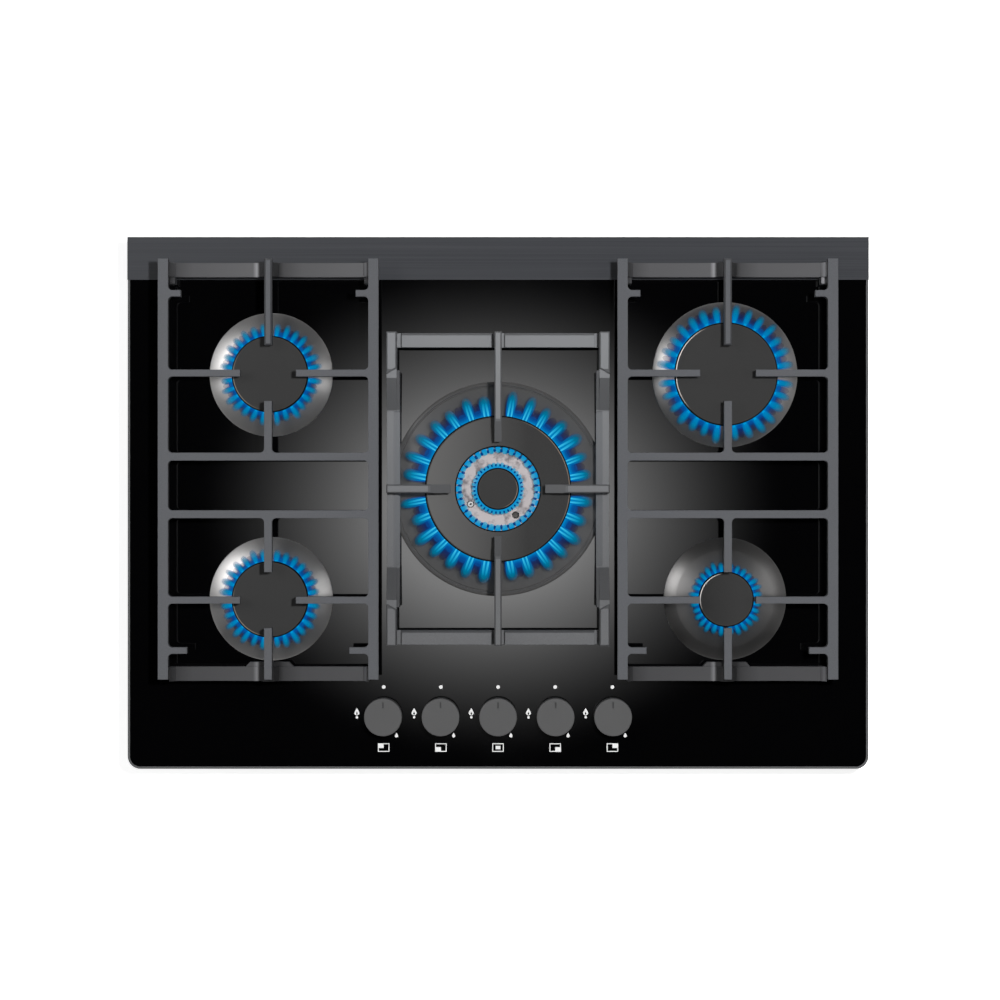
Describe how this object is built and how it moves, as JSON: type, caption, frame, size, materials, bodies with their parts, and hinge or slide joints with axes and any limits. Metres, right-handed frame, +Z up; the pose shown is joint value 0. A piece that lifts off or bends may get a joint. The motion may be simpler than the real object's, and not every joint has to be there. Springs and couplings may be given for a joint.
{
  "type": "gas cooktop",
  "caption": "Built-in gas hob: black glass panel with burners under cast-iron pan supports, front knobs and a sheet-metal casing with a rear gas inlet.",
  "frame": {"origin": "centre of the bounding box's underside, which is the underside of the casing under the middle of the glass panel", "axes": "+X to the right as the cook sees it, +Y to the rear, +Z up"},
  "size_m": [0.7, 0.5024, 0.099],
  "materials": {
    "glass": "polished black, opaque",
    "trim": "dark, brushed along its length",
    "foam": "closed-cell foam",
    "casing": "galvanised sheet",
    "steel": "plain steel",
    "brass": "turned",
    "ceramic": "glazed white ceramic",
    "aluminium": "die-cast or drawn, dull",
    "ring": "turned, with fine circular lines",
    "crown": "cast, polished on the centre burner's dish",
    "enamel": "matt dark grey enamel on steel",
    "iron": "matt grey enamel",
    "rubber": "matt",
    "knob": "satin grey",
    "moulding": "black"
  },
  "bodies": {
    "base": {"glass_top": "glass", "rear_trim": "trim", "worktop_seal": "foam", "casing_tray": "casing", "gas_rail": "steel", "gas_inlet_union": "brass", "injectors": "brass", "spark_electrodes": "ceramic", "thermocouples": "steel", "supply_tubes": "aluminium", "spark_generator": "moulding", "cable_gland": "moulding", "cup_screws": "steel", "tap_body_1": "aluminium", "tap_body_2": "aluminium", "tap_body_3": "aluminium", "tap_body_4": "aluminium", "tap_body_5": "aluminium", "burner_cup_rear_left": "aluminium", "burner_ring_rear_left": "ring", "burner_cup_front_left": "aluminium", "burner_ring_front_left": "ring", "burner_cup_rear_right": "aluminium", "burner_ring_rear_right": "ring", "burner_cup_front_right": "aluminium", "burner_ring_front_right": "ring", "burner_cup_centre": "aluminium", "burner_ring_centre": "ring"},
    "plug_1": {"tap_plug_1": "brass"},
    "knob_1": {"spindle_1": "steel", "knob_1": "knob"},
    "plug_2": {"tap_plug_2": "brass"},
    "knob_2": {"spindle_2": "steel", "knob_2": "knob"},
    "plug_3": {"tap_plug_3": "brass"},
    "knob_3": {"spindle_3": "steel", "knob_3": "knob"},
    "plug_4": {"tap_plug_4": "brass"},
    "knob_4": {"spindle_4": "steel", "knob_4": "knob"},
    "plug_5": {"tap_plug_5": "brass"},
    "knob_5": {"spindle_5": "steel", "knob_5": "knob"},
    "support_left": {"pan_support_left": "iron", "support_feet_left": "rubber"},
    "support_centre": {"pan_support_centre": "iron", "support_feet_centre": "rubber"},
    "support_right": {"pan_support_right": "iron", "support_feet_right": "rubber"},
    "crown_rear_left": {"burner_crown_rear_left": "crown"},
    "crown_front_left": {"burner_crown_front_left": "crown"},
    "crown_rear_right": {"burner_crown_rear_right": "crown"},
    "crown_front_right": {"burner_crown_front_right": "crown"},
    "crown_centre": {"burner_crown_centre": "crown"},
    "cap_rear_left": {"burner_cap_rear_left": "enamel"},
    "cap_front_left": {"burner_cap_front_left": "enamel"},
    "cap_rear_right": {"burner_cap_rear_right": "enamel"},
    "cap_front_right": {"burner_cap_front_right": "enamel"},
    "cap_centre_outer": {"burner_cap_centre_outer": "enamel"},
    "cap_centre_inner": {"burner_cap_centre_inner": "enamel"}
  },
  "joints": [
    {"name": "knob_1_turn", "type": "hinge", "parent": "base", "child": "plug_1", "pos_m": [-0.108, -0.201, 0.014], "axis": [0, 0, 1], "range_deg": [0, 211]},
    {"name": "knob_1_push", "type": "slide", "parent": "plug_1", "child": "knob_1", "axis": [0, 0, -1], "range_m": [0, 0.0035], "stiffness_N_per_m": 800, "springref_m": -0.008},
    {"name": "knob_2_turn", "type": "hinge", "parent": "base", "child": "plug_2", "pos_m": [-0.054, -0.201, 0.014], "axis": [0, 0, 1], "range_deg": [0, 211]},
    {"name": "knob_2_push", "type": "slide", "parent": "plug_2", "child": "knob_2", "axis": [0, 0, -1], "range_m": [0, 0.0035], "stiffness_N_per_m": 800, "springref_m": -0.008},
    {"name": "knob_3_turn", "type": "hinge", "parent": "base", "child": "plug_3", "pos_m": [0, -0.201, 0.014], "axis": [0, 0, 1], "range_deg": [0, 211]},
    {"name": "knob_3_push", "type": "slide", "parent": "plug_3", "child": "knob_3", "axis": [0, 0, -1], "range_m": [0, 0.0035], "stiffness_N_per_m": 800, "springref_m": -0.008},
    {"name": "knob_4_turn", "type": "hinge", "parent": "base", "child": "plug_4", "pos_m": [0.054, -0.201, 0.014], "axis": [0, 0, 1], "range_deg": [0, 211]},
    {"name": "knob_4_push", "type": "slide", "parent": "plug_4", "child": "knob_4", "axis": [0, 0, -1], "range_m": [0, 0.0035], "stiffness_N_per_m": 800, "springref_m": -0.008},
    {"name": "knob_5_turn", "type": "hinge", "parent": "base", "child": "plug_5", "pos_m": [0.108, -0.201, 0.014], "axis": [0, 0, 1], "range_deg": [0, 211]},
    {"name": "knob_5_push", "type": "slide", "parent": "plug_5", "child": "knob_5", "axis": [0, 0, -1], "range_m": [0, 0.0035], "stiffness_N_per_m": 800, "springref_m": -0.008},
    {"name": "support_left_lift", "type": "slide", "parent": "base", "child": "support_left", "axis": [0, 0, 1], "range_m": [0, 0.06]},
    {"name": "support_centre_lift", "type": "slide", "parent": "base", "child": "support_centre", "axis": [0, 0, 1], "range_m": [0, 0.06]},
    {"name": "support_right_lift", "type": "slide", "parent": "base", "child": "support_right", "axis": [0, 0, 1], "range_m": [0, 0.06]},
    {"name": "crown_rear_left_lift", "type": "slide", "parent": "base", "child": "crown_rear_left", "axis": [0, 0, 1], "range_m": [0, 0.006]},
    {"name": "crown_front_left_lift", "type": "slide", "parent": "base", "child": "crown_front_left", "axis": [0, 0, 1], "range_m": [0, 0.006]},
    {"name": "crown_rear_right_lift", "type": "slide", "parent": "base", "child": "crown_rear_right", "axis": [0, 0, 1], "range_m": [0, 0.006]},
    {"name": "crown_front_right_lift", "type": "slide", "parent": "base", "child": "crown_front_right", "axis": [0, 0, 1], "range_m": [0, 0.006]},
    {"name": "crown_centre_lift", "type": "slide", "parent": "base", "child": "crown_centre", "axis": [0, 0, 1], "range_m": [0, 0.0055]},
    {"name": "cap_rear_left_lift", "type": "slide", "parent": "crown_rear_left", "child": "cap_rear_left", "axis": [0, 0, 1], "range_m": [0, 0.005]},
    {"name": "cap_front_left_lift", "type": "slide", "parent": "crown_front_left", "child": "cap_front_left", "axis": [0, 0, 1], "range_m": [0, 0.005]},
    {"name": "cap_rear_right_lift", "type": "slide", "parent": "crown_rear_right", "child": "cap_rear_right", "axis": [0, 0, 1], "range_m": [0, 0.005]},
    {"name": "cap_front_right_lift", "type": "slide", "parent": "crown_front_right", "child": "cap_front_right", "axis": [0, 0, 1], "range_m": [0, 0.005]},
    {"name": "cap_centre_outer_lift", "type": "slide", "parent": "crown_centre", "child": "cap_centre_outer", "axis": [0, 0, 1], "range_m": [0, 0.004]},
    {"name": "cap_centre_inner_lift", "type": "slide", "parent": "crown_centre", "child": "cap_centre_inner", "axis": [0, 0, 1], "range_m": [0, 0.004]}
  ]
}
